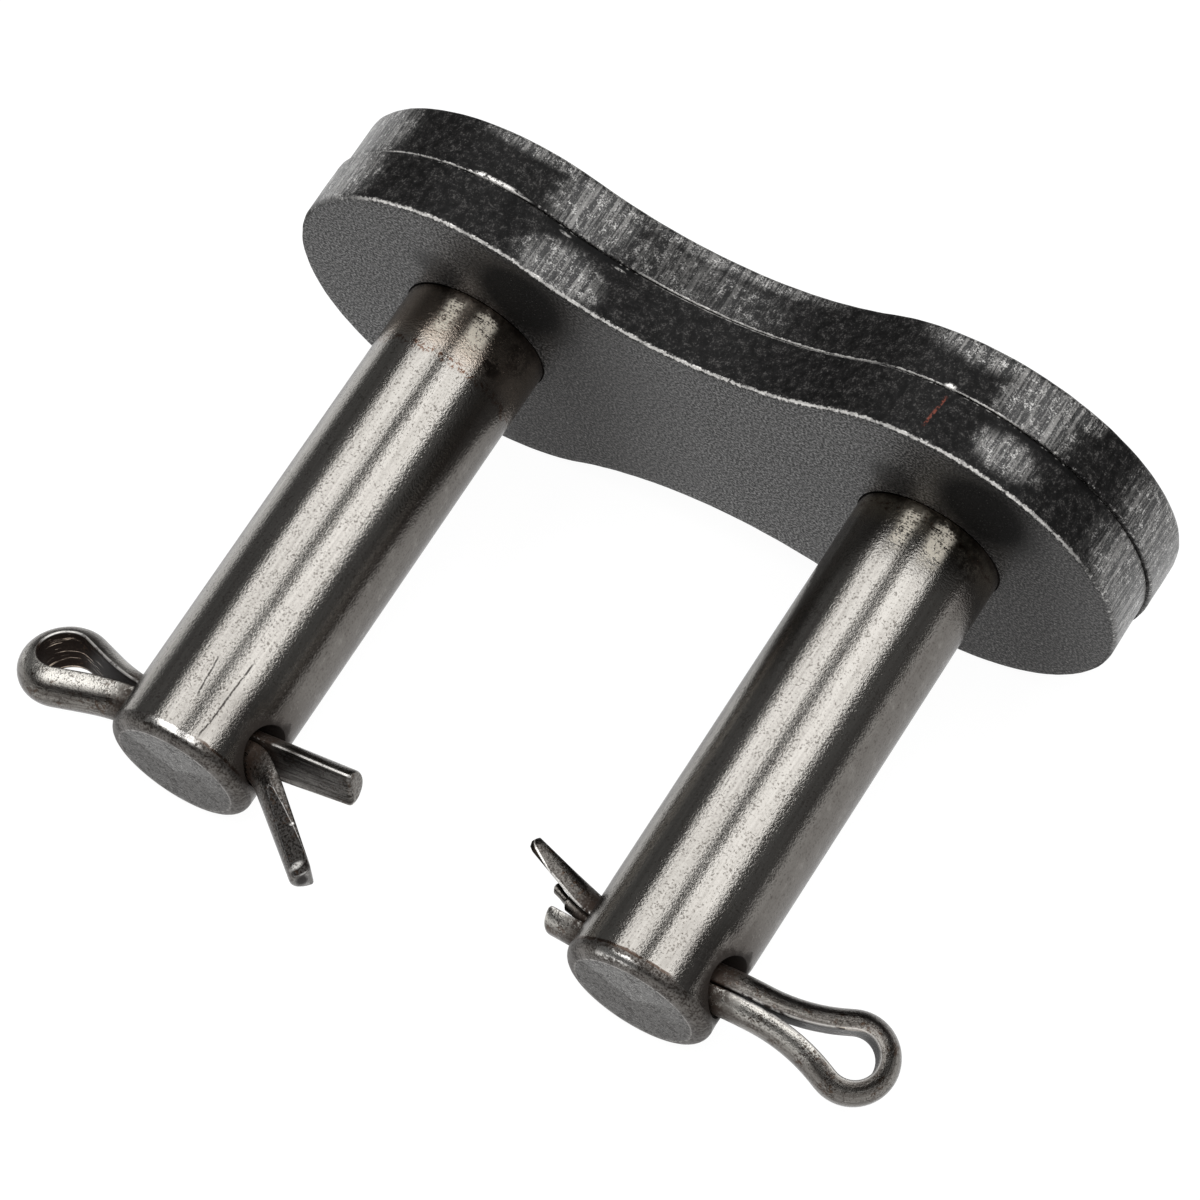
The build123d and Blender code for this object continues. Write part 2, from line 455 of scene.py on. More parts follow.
def rim_wear_and_highlight(f, place, x, depth, inset, upper, rims):
    """Bare steel in a ragged line along the upper rims, partly a painted highlight, and stray
    chips beside it.
    """
    bare_and_highlight = 0
    for rim, bands in rims:
        reach = rim(depth, inset)
        ragged = reach + (f.grain(place, 4, 4, 0.8) - 0.5) * 0.55
        broken = f.ease(f.grain(place, 1.1, 4, 0.75), 0.3, 0.55, 0.35, 1)
        close = f.ease(ragged, 0.19, 0.12) * broken
        # the ragged line only on the upper rims: worn steel and a painted highlight
        bare_and_highlight = (close * (f.bands(x, bands) * upper)).most(bare_and_highlight)
        stray = f.ease(reach, 0.3, 0.12) * f.ease(f.grain(place, 3.4, 3, 0.7), 0.56, 0.66)
        bare_and_highlight = (stray * 0.45).most(bare_and_highlight)
    return bare_and_highlight


def seam_shadow_and_scratch(f, colour, x, depth, upper, wall, fine):
    """Painted shadow along the seam in two stretches, and one red scratch across the wall."""
    for low_x, high_x, low_depth in ((4.6, 10.9, 3.3), (36.3, 41.5, 3.35)):
        # painted shadow of the gap between the plates, near-black on the upper wall
        seam_gap_shadow = f.between(x, low_x, high_x, 0.6) * f.between(depth, low_depth, 3.9, 0.08)
        colour = f.tint(seam_gap_shadow * upper * wall * 0.9, colour, (0.001, 0.001, 0.001))
    scratch = f.between(depth, 0.9, 3.2, 0.15)
    scratch = scratch * f.ease(abs(x - 32.05 - depth * 0.105), 0.13, 0.05)
    scratch = scratch * upper * wall * f.ease(fine, 0.42, 0.55)
    return f.tint(scratch * 0.8, colour, (0.22, 0.055, 0.035))


def cover_painted_shade(f, colour, soot_and_shade, place, x, y, depth, wall, bare_and_highlight, dust):
    """Painted shade on the front face right of each pin, and a painted shadow of each pin by its
    root.
    """
    near_front = f.ease(depth, 0.6, 0.3)
    for root in (0, PITCH):
        # painted shade: the face turns matte right of each pin, where its shadow falls
        shade = f.ease(x - root, 20, 6.5) * f.ease(x - root - y * 0.1, -1, 2.5)
        soot_and_shade = (shade * 0.8 * near_front).most(soot_and_shade)
        # painted shadow of the pin, near-black, beside and right of its root
        beside = f.spot(place, (root - 1.6, 6.4, 0), (2.6, 2.4, 3)) * 0.6
        pin_shadow = f.spot(place, (root + 4.4, 7.2, 0), (5.2, 6.2, 3)).most(beside)
        pin_shadow = pin_shadow * f.ease(dust, 0.72, 0.58) * (1 - wall) * (1 - bare_and_highlight) * near_front
        soot_and_shade = pin_shadow.most(soot_and_shade)
        colour = f.tint(pin_shadow * 0.96, colour, (0.0015, 0.0013, 0.0012))
    return colour, soot_and_shade

# %% Black oxide
def black_oxide(name, front, rims, sheen_patches, marks):
    f = Finish(name)
    place = f.place()
    x, y, z = f.split(place)
    inset = f.node("ShaderNodeAttribute", {"attribute_name": "inset"}, out=2)
    depth = front - z
    wall = f.ease(inset, 0.3, 0.12)
    upper = f.ease(y, 3, 7)
    fine = f.grain(place, 6, 3, 0.65)
    lumps = f.grain(place, 2, 5, 0.65)
    lines = f.grain(f.stretch(place, (5, 5, 0.28)), 1, 4, 0.65)
    dust = f.grain(place, 10, 3, 0.75)

    # torn patches, some placed where the lamps glance off the wall
    patch = 0
    for middle, radii, share in sheen_patches:
        patch = (f.spot(place, middle, radii) * share).most(patch)
    ragged = patch + (lumps - 0.5) * 0.9 * f.ease(patch, 0, 0.3)
    patch = ragged.least(1).most(0) * wall
    colour = oxide_colour(f, wall, patch, fine, lumps, dust, lines)
    bare_and_highlight = rim_wear_and_highlight(f, place, x, depth, inset, upper, rims)
    for middle, radii, share in marks:
        nick = f.spot(place, middle, radii) * f.ease(fine, 0.4, 0.52)
        bare_and_highlight = (nick * share).most(bare_and_highlight)
    if front == 0:
        colour = seam_shadow_and_scratch(f, colour, x, depth, upper, wall, fine)
    colour = f.tint(bare_and_highlight, colour, (0.82, 0.8, 0.77))
    # The matte share: soot from the grain, and on the cover the painted shade by the pins
    soot_and_shade = f.ease(fine, 0.62, 0.42) * 0.72
    if front == 0:
        colour, soot_and_shade = cover_painted_shade(f, colour, soot_and_shade, place, x, y, depth, wall, bare_and_highlight, dust)

    matte = (soot_and_shade + ((0.9 - patch * 0.9) - soot_and_shade) * wall) * (1 - bare_and_highlight)
    height = dust * (1 - wall) + (lumps * 1.4 + lines * patch + fine * 0.8) * wall
    bump = f.relief(height, 0.5, 42)
    rough = f.ease(f.grain(place, 0.3, 4, 0.6), 0.3, 0.7, 0.25, 0.31)
    return f.skin({
        "Base Color": colour, "Roughness": rough, "Metallic": bare_and_highlight * 0.5, "Normal": bump,
        "Specular IOR Level": 0.47}, matte, {"Roughness": 0.75})

# %% Make the plates
cover_rims = [
    (lambda depth, inset: depth.most(inset), [(-6, 41.5, 2.5, 1)]),
    (lambda depth, inset: (COVER_T - depth).most(inset) * 2, [(13, 28, 2, 0.5)])]
cover_sheen_patches = [
    ((7, 10.9, -1.2), (3.6, 3.4, 2.1), 1), ((36.9, 11.4, -1.9), (2.6, 3, 1.5), 1),
    ((-9.2, 8.8, -2), (4.6, 5.2, 3.2), 1), ((45, 1, -2), (5, 9, 4), 1),
    ((-6, -11, -2), (6, 4, 2.8), 0.8), ((29, -12, -2), (6, 3, 2.8), 0.8),
    ((14, -8.8, -1.5), (5, 2, 1.4), 0.6)]
cover_marks = [
    ((6.14, 11.03, -3.4), (0.5, 0.6, 0.12), 0.35), ((9.67, 9.7, -3.37), (0.6, 0.6, 0.1), 0.4)]
rear_rims = [(lambda depth, inset: depth.most(inset) * 2, [
    (-7, 3.2, 0.8, 1), (11.5, 27, 1.5, 0.9), (28.5, 36.4, 0.8, 0.9)])]
rear_sheen_patches = [
    ((7.2, 10.9, -5.4), (3.7, 3.4, 3.4), 1), ((37.3, 11.3, -5.3), (3.4, 3.2, 3.6), 1),
    ((2.5, 12.3, -7.3), (5, 2.5, 1.1), 1), ((15, 8.9, -7.4), (11, 3.5, 1.2), 0.9),
    ((33.5, 12.4, -7.2), (5.6, 2.5, 1.7), 1), ((14, 9, -5), (8, 3, 2.5), 0.35),
    ((-9.2, 8.8, -5.6), (4.6, 5.2, 3.2), 1), ((45, 1, -5.6), (5, 9, 4), 1),
    ((39.3, 10.2, -6.9), (1.8, 2.4, 1.1), 1), ((-9, -8, -6), (5, 6, 3), 0.8),
    ((30, -12, -5), (7, 3, 2.8), 0.8)]
rear_marks = [
    ((0.38, 12.43, -3.9), (0.8, 0.8, 0.3), 1), ((1.4, 12.3, -3.92), (1.8, 0.8, 0.22), 0.9),
    ((32.26, 12.35, -3.9), (0.5, 0.8, 0.3), 1)]

cover = rolled_plate(-COVER_T, COVER_T, 0, PIN_R + BORE_PLAY, WORN_ROUND, EDGE_ROUND, 1)
rear = rolled_plate(BACK, REAR_T, REAR_OFFSET, PIN_R, EDGE_ROUND, WORN_ROUND, 2)
cover_finish = black_oxide("black_oxide_cover", 0, cover_rims, cover_sheen_patches, cover_marks)
rear_finish = black_oxide(
    "black_oxide_rear", -COVER_T - SEAM, rear_rims, rear_sheen_patches, rear_marks)
made_piece(cover, "cover_plate_worn", "cover", "cover_plate", cover_finish)
made_piece(rear, "fixed_plate_worn", "pinned_plate", "fixed_plate", rear_finish)

# %% [markdown]
# ## The two pins
# A pin is turned and ground round bar, so it is a spun profile: a rounded tip, a long
# straight shank and a slightly proud riveted end behind the rear plate. The cross hole
# near the tip is cut by insetting a patch of its faces, pulling the inset loop onto the
# drilled circle and bridging the two openings, which keeps the whole pin in quads.

# %% A spun pin
HOLE_R, HOLE_Z, HOLE_RIM = 1.9, 30.55, 0.1
COLUMNS, CAP_ROWS, TIP_ROWS, RIVET_ROWS = 120, 12, 8, 5
FINE_ROWS, FINE_STEP, SHANK_ROWS = 18, 0.25, 40


def draw(bm, tip, step, count):
    for i in range(count):
        tip = bmesh.ops.extrude_vert_indiv(bm, verts=tip)["verts"]
        bmesh.ops.translate(bm, verts=tip, vec=step)
    return tip


def quarter(bm, tip, centre, count):
    made = bmesh.ops.spin(
        bm, geom=tip, cent=centre, axis=(0, 1, 0), angle=math.pi / 2, steps=count)
    return only_verts(made["geom_last"])


def spun_pin(x, azimuth):
    bm = bmesh.new()
    low = BACK - RIVET_STAND
    straight = REACH - TIP_ROUND - FINE_ROWS * FINE_STEP - low - RIVET_ROUND
    tip = [bm.verts.new((0, 0, REACH))]
    tip = draw(bm, tip, ((PIN_R - TIP_ROUND) / CAP_ROWS, 0, 0), CAP_ROWS)
    tip = quarter(bm, tip, (PIN_R - TIP_ROUND, 0, REACH - TIP_ROUND), TIP_ROWS)
    tip = draw(bm, tip, (0, 0, -FINE_STEP), FINE_ROWS)
    tip = draw(bm, tip, (0, 0, -straight / SHANK_ROWS), SHANK_ROWS)
    tip = quarter(bm, tip, (PIN_R - RIVET_ROUND, 0, low + RIVET_ROUND), RIVET_ROWS)
    draw(bm, tip, (-(PIN_R - RIVET_ROUND) / CAP_ROWS, 0, 0), CAP_ROWS)
    turned = Matrix.Rotation(math.radians(azimuth), 3, "Z")
    bmesh.ops.rotate(bm, verts=bm.verts, cent=(0, 0, 0), matrix=turned)
    bmesh.ops.spin(
        bm, geom=bm.verts[:] + bm.edges[:], cent=(0, 0, 0), axis=(0, 0, 1),
        angle=2 * math.pi, steps=COLUMNS, use_merge=True)
    bmesh.ops.remove_doubles(bm, verts=bm.verts, dist=1e-4)
    bmesh.ops.recalc_face_normals(bm, faces=bm.faces)
    drill_pin(bm, azimuth)
    bmesh.ops.translate(bm, verts=bm.verts, vec=(x, 0, 0))
    return bm

# %% The cross hole
PATCH_TURN, PATCH_LOW, PATCH_HIGH, PATCH_INSET = 33, 28.2, 32.7, 0.01


def drill_pin(bm, azimuth):
    mouths = []
    for side in (azimuth, azimuth + 180):
        aim = Vector((math.cos(math.radians(side)), math.sin(math.radians(side)), 0))
        across = Vector((-aim.y, aim.x, 0))
        patch = []
        for face in bm.faces:
            c = face.calc_center_median()
            turn = math.degrees(math.atan2(c.dot(across), c.dot(aim)))
            if abs(turn) < PATCH_TURN and PATCH_LOW < c.z < PATCH_HIGH:
                patch.append(face)
        for again in range(2):
            bmesh.ops.inset_region(
                bm, faces=patch, thickness=PATCH_INSET, use_even_offset=False, use_boundary=True)
        hem = {
            e for face in patch for e in face.edges
            if any(g not in patch for g in e.link_faces)}
        for v in verts_of(hem):
            sway = math.atan2(v.co.dot(across), v.co.dot(aim)) * PIN_R
            rise = v.co.z - HOLE_Z
            size = math.hypot(sway, rise)
            sway, rise = sway / size * HOLE_R, rise / size * HOLE_R
            out = aim * math.sqrt(PIN_R**2 - sway**2)
            v.co = across * sway + out + Vector((0, 0, HOLE_Z + rise))
        bmesh.ops.delete(bm, geom=patch, context="FACES")
        mouths += [e for e in hem if e.is_valid]
    tunnel = bmesh.ops.bridge_loops(bm, edges=mouths)
    ribs = [e for e in tunnel["edges"] if e not in mouths]
    bmesh.ops.subdivide_edges(bm, edges=ribs, cuts=5, use_grid_fill=True)
    bevelled(bm, mouths, HOLE_RIM, 2)

# %% [markdown]
# ### Ground steel
# Centreless grinding leaves steel bright but not mirror-like, with lines along the bar, and
# years in a drawer add pin-head rust pits, a tan stain where the plate sat and dirt in
# corners. The ring where the pin goes into the plate is painted shade, and so is the darker
# colour on the pin's right and far left sides. Near the plate a light matte patch carries
# each lamp's light band on, a painted highlight, and the tip's rounding has a painted
# highlight too. The pits matter most: a fine relief under a low roughness breaks the edge of
# each lamp's reflection into grains, which makes metal look like metal.

# %% The bar, its stain and its dirt
def ground_bar(f, turn, grains, specks):
    """Steel with lines and pits, and painted shade on its right and far left sides."""
    streaks, fine, cloud, blots = grains
    pits = f.ease(fine + (cloud - 0.5) * 0.45, 0.575, 0.68)
    # painted shade on the pin's right side and far left side, set by its turn
    side_shade = f.ease(turn, 48, 22) * f.ease(turn, 12, -14, 0.7, 1)
    side_shade = side_shade.most(f.ease(abs(turn), 134, 150))
    side_shade = side_shade * f.ease(cloud + (streaks - 0.5) * 0.6, 0.15, 0.5, 0.5, 1)
    colour = f.tint(f.ease(streaks, 0.3, 0.7), (0.245, 0.232, 0.214), (0.335, 0.32, 0.298))
    colour = f.coats(colour, [
        (f.ease(fine, 0.6, 0.36), 0.3, (0.4, 0.385, 0.36)),
        (pits, 0.62, (0.055, 0.045, 0.037)), (specks, 0.6, (0.03, 0.024, 0.018)),
        (side_shade, 0.85, (0.115, 0.103, 0.094))])
    return colour, pits, side_shade


def plate_stain(f, colour, place, pz, grains, riveted, stain):
    """A tan stain with rusty rings, a brown line at its end and painted shade at its root."""
    streaks, fine, cloud, blots = grains
    low_z, high_z, warmth, line = stain
    tan = f.ease(pz + (cloud - 0.5) * 1.2, high_z, low_z) * (1 - riveted)
    rings = f.grain(f.stretch(place, (0.6, 0.6, 7)), 1, 4, 0.75)
    rust = f.ease(rings * 0.7 + fine * 0.3, 0.565, 0.63) * tan
    tide = f.ease(abs(pz + (cloud - 0.5) * 1.4 - line), 0.4, 0.1) * f.ease(blots, 0.5, 0.56)
    hidden = f.ease(pz, -0.15, -0.8)
    # painted shade: a dark ring where the pin goes into the plate
    root = f.ease(pz + (cloud - 0.5) * 1.2, 0.6, 0.05) * (1 - hidden)
    colour = f.coats(colour, [
        (tan, 0.65, warmth), (rust, 0.6, (0.12, 0.064, 0.036)),
        (tide, 0.85, (0.095, 0.04, 0.018)), (root, 0.85, (0.04, 0.025, 0.016))])
    return colour, tan, rings, rust


def hole_dirt(f, colour, px, py, pz, azimuth, fine, cloud):
    """Grease round the cross hole, and thick dirt in its mouths."""
    az = math.radians(azimuth)
    sway = px * -math.sin(az) + py * math.cos(az)
    hole = (sway * sway + (pz - HOLE_Z) * (pz - HOLE_Z)) ** 0.5
    greasy = f.ease(hole + (cloud - 0.5) * 2.5, HOLE_R + 3, HOLE_R + 0.5)
    greasy = greasy * f.ease(fine, 0.66, 0.48)
    mouth = f.ease(hole + (cloud - 0.5) * 1.6, HOLE_R + 0.85, HOLE_R + 0.1)
    colour = f.coats(colour, [
        (greasy, 0.6, (0.05, 0.041, 0.036)), (mouth, 0.85, (0.026, 0.018, 0.013))])
    return colour, mouth

# %% The pin's ends
def pin_ends(f, colour, where, grains, specks, riveted, highlight_at, hem_turns):
    """A dull rounding with one painted highlight patch, also glossier, a brown hem, and a
    scarred end face.
    """
    place, pz, turn, radius, tip = where
    streaks, fine, cloud, blots = grains
    end = f.ease(radius, PIN_R - 0.85, PIN_R - 1) * tip
    low_turn, high_turn, low_z, high_z = highlight_at
    # painted highlight on the tip's rounding, near-white and less rough
    rounding_highlight = f.between(turn + (blots - 0.5) * 30, low_turn, high_turn, 7)
    rounding_highlight = rounding_highlight * f.between(pz + (blots - 0.5) * 0.55, low_z, high_z, 0.06)
    dull = f.ease(fine * 0.6 + cloud * 0.4, 0.4, 0.6)
    dull = f.tint(dull, (0.15, 0.14, 0.13), (0.04, 0.034, 0.03))
    dull = f.coats(dull, [(rounding_highlight, 0.9, (0.72, 0.7, 0.67)), (specks, 0.7, (0.05, 0.03, 0.02))])
    colour = f.tint(tip.most(riveted), colour, dull)
    hem = f.ease(abs(pz - (REACH - 0.92) + (cloud - 0.5) * 0.3), 0.13, 0.05)
    hem = hem * f.ease(blots, 0.36, 0.44) * f.between(turn, *hem_turns, 6)
    colour = f.tint(hem * 0.85, colour, (0.04, 0.02, 0.011))
    scars = f.ease(f.grain(place, 4.5, 4, 0.8) + (cloud - 0.5) * 0.6, 0.51, 0.57)
    face = f.tint(f.ease(cloud, 0.35, 0.65), (0.105, 0.102, 0.098), (0.165, 0.161, 0.155))
    face = f.coats(face, [
        (scars, 0.9, (0.022, 0.02, 0.018)),
        (f.ease(fine, 0.44, 0.34), 0.6, (0.4, 0.39, 0.38))])
    colour = f.tint(end, colour, face)
    lip = f.ease(abs(radius - PIN_R + 0.88), 0.09, 0.03) * tip * f.ease(blots, 0.4, 0.55)
    return f.tint(lip * 0.5, colour, (0.55, 0.53, 0.51)), rounding_highlight, scars * -1.2, end

# %% Ground steel
def ground_steel(name, x, azimuth, stain, highlight_at, hem_turns, soils, scratches):
    f = Finish(name)
    place = f.place(x)
    px, py, pz = f.split(place)
    turn = px.math("ARCTAN2", py, px) * math.degrees(1)
    radius = (px * px + py * py) ** 0.5
    tip = f.ease(pz, REACH - 0.95, REACH - 0.8)
    riveted = f.ease(pz, -3, -5)
    streaks = f.grain(f.stretch(place, (3.5, 3.5, 0.1)), 1, 4, 0.6)
    fine = f.grain(place, 7, 2, 0.65)
    cloud = f.grain(place, 1.1, 4, 0.65)
    blots = f.grain(place, 4, 3, 0.7)
    specks = f.ease(f.grain(place, 3.6, 3, 0.7), 0.66, 0.71)
    where, grains = (place, pz, turn, radius, tip), (streaks, fine, cloud, blots)

    colour, pits, side_shade = ground_bar(f, turn, grains, specks)
    colour, tan, rings, rust = plate_stain(f, colour, place, pz, grains, riveted, stain)
    for middle, radii, share in soils:
        soil = f.spot(place, middle, radii) * f.ease(blots + (cloud - 0.5), 0.62, 0.4)
        colour = f.tint(soil * share, colour, (0.022, 0.015, 0.011))
    colour, mouth = hole_dirt(f, colour, px, py, pz, azimuth, fine, cloud)
    colour, rounding_highlight, scars, end = pin_ends(
        f, colour, where, grains, specks, riveted, highlight_at, hem_turns)
    for z_low, z_high, turn_low, turn_high in scratches:
        slope = (turn_high - turn_low) / (z_high - z_low)
        stray = abs(turn - turn_low - (pz - z_low) * slope + (cloud - 0.5) * 3)
        cut = f.ease(stray, 1, 0.3) * f.between(pz, z_low, z_high, 0.3)
        colour = f.tint(cut * f.ease(fine, 0.33, 0.45) * 0.9, colour, (0.012, 0.01, 0.009))

    # painted highlight: a light matte patch carrying each lamp's light band on near the plate,
    # with some rust in it
    root_highlight = f.between(turn, 83, 97, 4).most(f.between(turn, 55, 73, 4)) * f.ease(pz, 4.4, 2.4)
    root_highlight = root_highlight * f.ease(pz + (cloud - 0.5) * 1.2, 0.3, 0.8) * (1 - riveted)
    root_highlight = root_highlight * f.ease(fine * 0.45 + rings * 0.55, 0.575, 0.495)
    highlight_colour = f.tint(rust * f.ease(pz, 3.2, 1.2), (0.8, 0.74, 0.63), (0.24, 0.135, 0.07))
    matte = (mouth * 0.8).most(side_shade * 0.4).most(root_highlight * 0.8)
    height = (fine + streaks * 0.3) * (1 - tip) + rings * tan * 0.12 + scars * end
    bump = f.relief(height + blots * tip, 0.55, 30)
    rough = 0.115 + f.ease(streaks, 0.35, 0.7) * 0.03 + tan * 0.015
    rough = rough + tip.most(riveted) * (0.26 - rounding_highlight * 0.22) + pits * 0.12 + mouth * 0.2
    return f.skin({
        "Base Color": colour, "Roughness": rough, "Metallic": 1 - mouth * 0.5,
        "Normal": bump}, matte, {
        "Base Color": f.tint(root_highlight, (0.028, 0.023, 0.02), highlight_colour), "Roughness": 0.7})

# %% Make the pins
left_steel = ground_steel(
    "ground_steel_left", 0, LEFT_AZIMUTH, (2.9, 4.6, (0.52, 0.43, 0.35), 4.25),
    (66, 104, 32.72, 33.14), (22, 64),
    [((3.5, 3.2, 3), (1, 1.2, 1), 0.8), ((4.2, 2, 1.2), (1.3, 1.8, 1.6), 0.7)],
    [(27.7, 30.4, 86.2, 83.1), (27, 32.5, 62.5, 65.5)])
right_steel = ground_steel(
    "ground_steel_right", PITCH, RIGHT_AZIMUTH, (0.9, 2.4, (0.52, 0.46, 0.36), 0.8),
    (84, 112, 33.02, 33.42), (56, 150),
    [((1.5, 4.5, 0.5), (1.2, 1.2, 0.9), 0.7), ((3.9, 2.7, 1.3), (1.6, 1.8, 1.6), 0.8)], [])
pin = spun_pin(0, LEFT_AZIMUTH)
made_piece(pin, "pin_left_ground", "pinned_plate", "pin_left", left_steel)
pin = spun_pin(PITCH, RIGHT_AZIMUTH)
made_piece(pin, "pin_right_ground", "pinned_plate", "pin_right", right_steel)

# %% [markdown]
# ## The two cotters
# A split cotter is one length of half-round wire, folded at the eye so that its flats face
# each other, pushed through the hole and its legs bent apart. The mesh is made the same
# way: a half-round loop of edges is drawn along, spun round each bend in turn, out along
# one limb, round the eye, back along the other and out into the leg. Each vertex keeps how
# far along the wire it lies and where in its section, and the finish follows the wire.
# Hand work left three marks: the right cotter's long leg is ground to a thin point, the
# side cutters tore a lip between its legs, and the left one's bent leg is pressed flat.

# %% Half-round wire
WIRE_R, GAP, WORN, END = 1.45, 0.06, 0.12, 0.25
HALF = math.sqrt(WIRE_R**2 - GAP**2)
MID_UP = (WIRE_R - GAP) / 2
ROUND_STEPS, FLAT_STEPS, RUN_STEP, TURN_STEP = 22, 7, 0.3, 6


def wire_end(bm, spot, t, u):
    """Loop of edges of the wire's section: round towards u, flat through the spot."""
    tilt = math.asin(GAP / WIRE_R)
    first = bm.verts.new((HALF, 0, 0))
    made = bmesh.ops.spin(
        bm, geom=[first], cent=(0, -GAP, 0), axis=(0, 0, 1), angle=math.pi - 2 * tilt,
        steps=ROUND_STEPS)
    other = only_verts(made["geom_last"])[0]
    tip = draw(bm, [other], (2 * HALF / FLAT_STEPS, 0, 0), FLAT_STEPS - 1)
    bm.edges.new((tip[0], first))
    bevelled(bm, [first, other], WORN, 3, "VERTICES")
    drawn = bm.verts.layers.float_vector.new("drawn")
    s = u.cross(t)
    for v in bm.verts:
        v[drawn] = (0, v.co.x, v.co.y)
        v.co = spot + s * v.co.x + u * v.co.y
    return bm.edges[:]


def pulled(bm, edges):
    """Extrudes a loop of edges and gives the new loop."""
    made = bmesh.ops.extrude_edge_only(bm, edges=edges)["geom"]
    return [e for e in only_edges(made) if len(e.link_faces) == 1]


def squeeze(bm, edges, centre, axes, keep):
    """Makes a loop smaller or larger about a point, by a share on each of its axes."""
    there = axes_at(centre, axes)
    size = there @ Matrix.Diagonal((*keep, 1, 1)) @ there.inverted()
    bmesh.ops.transform(bm, matrix=size, verts=verts_of(edges))

# %% Draw the wire along a limb
def draw_wire(bm, edges, spot, t, u, steps, sign=1, taper=None, nose=END):
    """Steps are a kind, an amount, a radius, and a side or a run's twist."""
    drawn = bm.verts.layers.float_vector["drawn"]
    gone, keep = 0.0, 1.0

    def passed(length):
        nonlocal gone, keep
        gone += length
        for v in verts_of(edges):
            v[drawn] = Vector(v[drawn]) + Vector((length * sign, 0, 0))
        if taper and gone > taper[0]:
            start, end, least, way = taper
            want = 1 - (1 - least) * min(1, (gone - start) / (end - start))
            s = u.cross(t)
            squeeze(bm, edges, spot + s * way * HALF, (s, u, t), (want / keep, 1))
            keep = want

    for kind, amount, radius, side in steps:
        s = u.cross(t)
        if kind == "run":
            count = max(1, round(amount / RUN_STEP))
            for i in range(count):
                edges = pulled(bm, edges)
                verts = verts_of(edges)
                spot = spot + t * (amount / count)
                bmesh.ops.translate(bm, verts=verts, vec=t * (amount / count))
                if side:
                    part = Matrix.Rotation(math.radians(side) / count, 3, t)
                    bmesh.ops.rotate(bm, verts=verts, cent=spot + u * MID_UP, matrix=part)
                    spot, u = spot + u * MID_UP - part @ u * MID_UP, part @ u
                passed(amount / count)
            continue
        turn = math.radians(amount)
        way = {"out": u, "in": -u, "side": s * side}[kind]
        count = max(1, round(max(turn * radius / RUN_STEP, amount / TURN_STEP)))
        hub, axis = spot + way * radius, t.cross(way)
        for i in range(count):
            made = bmesh.ops.spin(
                bm, geom=edges, cent=hub, axis=axis, angle=turn / count, steps=1)
            edges = only_edges(made["geom_last"])
            part = Matrix.Rotation(turn / count, 3, axis)
            spot, t, u = hub + part @ (spot - hub), part @ t, part @ u
            passed(turn * radius / count)
    blunt_end(bm, edges, spot, t, u, drawn, sign, nose)
    return spot, t, u


def blunt_end(bm, edges, spot, t, u, drawn, sign, nose):
    """The snipped end of a leg, its rim rounded in three steps and its face closed."""
    axes = (u.cross(t), u, t)
    ahead, inset = 0.0, 0.0
    for turn in (30, 60, 90):
        turn = math.radians(turn)
        step, inward = nose * math.sin(turn), nose * 0.8 * (1 - math.cos(turn))
        edges = pulled(bm, edges)
        rim = verts_of(edges)
        bmesh.ops.translate(bm, verts=rim, vec=t * (step - ahead))
        middle = spot + u * MID_UP + t * step
        keep = (HALF - inward) / (HALF - inset), (MID_UP - inward) / (MID_UP - inset)
        squeeze(bm, edges, middle, axes, keep)
        for v in rim:
            v[drawn] = Vector(v[drawn]) + Vector(((step - ahead) * sign, 0, 0))
        ahead, inset = step, inward
    cap = bmesh.ops.contextual_create(bm, geom=edges)["faces"]
    middle = sum((Vector(v[drawn]) for v in rim), Vector()) / len(rim)
    for v in bmesh.ops.poke(bm, faces=cap)["verts"]:
        v[drawn] = middle

# %% The shape of an eye, and where a cotter sits
def eye_line(start, neck, centre, inner_r, flank_angle, droop=0, droop_at=0, droop_len=0):
    """The steps of a whole eye, out along one limb and back along the other."""
    slope = math.radians(flank_angle)
    depth = centre - neck
    neck_r = (depth * math.sin(slope) + GAP * math.cos(slope) - inner_r) / (1 - math.cos(slope))
    flank = (depth - (inner_r + neck_r) * math.sin(slope)) / math.cos(slope)
    steps = [("run", neck - start, 0, 0)]
    if droop:
        steps = [
            ("run", droop_at - start, 0, 0),
            ("side", droop, droop_len / math.radians(droop), -1),
            ("run", neck - droop_at - droop_len, 0, 0)]
    steps += [("out", flank_angle, neck_r, 0), ("run", flank, 0, 0)]
    return steps + [("in", 180 + 2 * flank_angle, inner_r, 0)] + steps[::-1]


def seat(x, z, azimuth, tilt, roll):
    """A cotter's eye points along the first axis, its limbs part on the second."""
    place = Matrix.Translation((x, 0, z))
    for turn, axis in ((azimuth, "Z"), (-tilt, "Y"), (roll + 90, "X")):
        place = place @ Matrix.Rotation(math.radians(turn), 4, axis)
    return place


def bent_wire(parting, there, back, taper=None, nose=END):
    """Both ways from where the limbs part: the mesh, and the end of the first way."""
    bm = bmesh.new()
    spot, out, round_way = Vector((parting, GAP, 0)), Vector((1, 0, 0)), Vector((0, 1, 0))
    start = wire_end(bm, spot, out, round_way)
    end = draw_wire(bm, start, spot, out, round_way, there, nose=nose)
    draw_wire(bm, start, spot, -out, round_way, back, -1, taper)
    bmesh.ops.recalc_face_normals(bm, faces=bm.faces)
    return bm, end


def length_of(steps):
    return sum(
        amount if kind == "run" else math.radians(amount) * radius
        for kind, amount, radius, side in steps)


print("wire", 2 * WIRE_R, "mm across")

# %% Bend the right cotter
BEVEL_ANGLE, BEVEL_RISE, HEM = math.radians(18.2), 0.57, 0.09
LIP_START, LIP_R = (-4.1, -0.33, -0.55), 0.4
LIP_STEPS = (
    (-1.1, -0.2, 1.1), (-0.8, -0.24, 0.95), (-0.5, -0.18, 1.15), (-0.2, -0.08, 0.6),
    (-0.5, -0.22, 0.95), (-0.45, -0.22, 1.25), (-0.12, -0.05, 0.6))


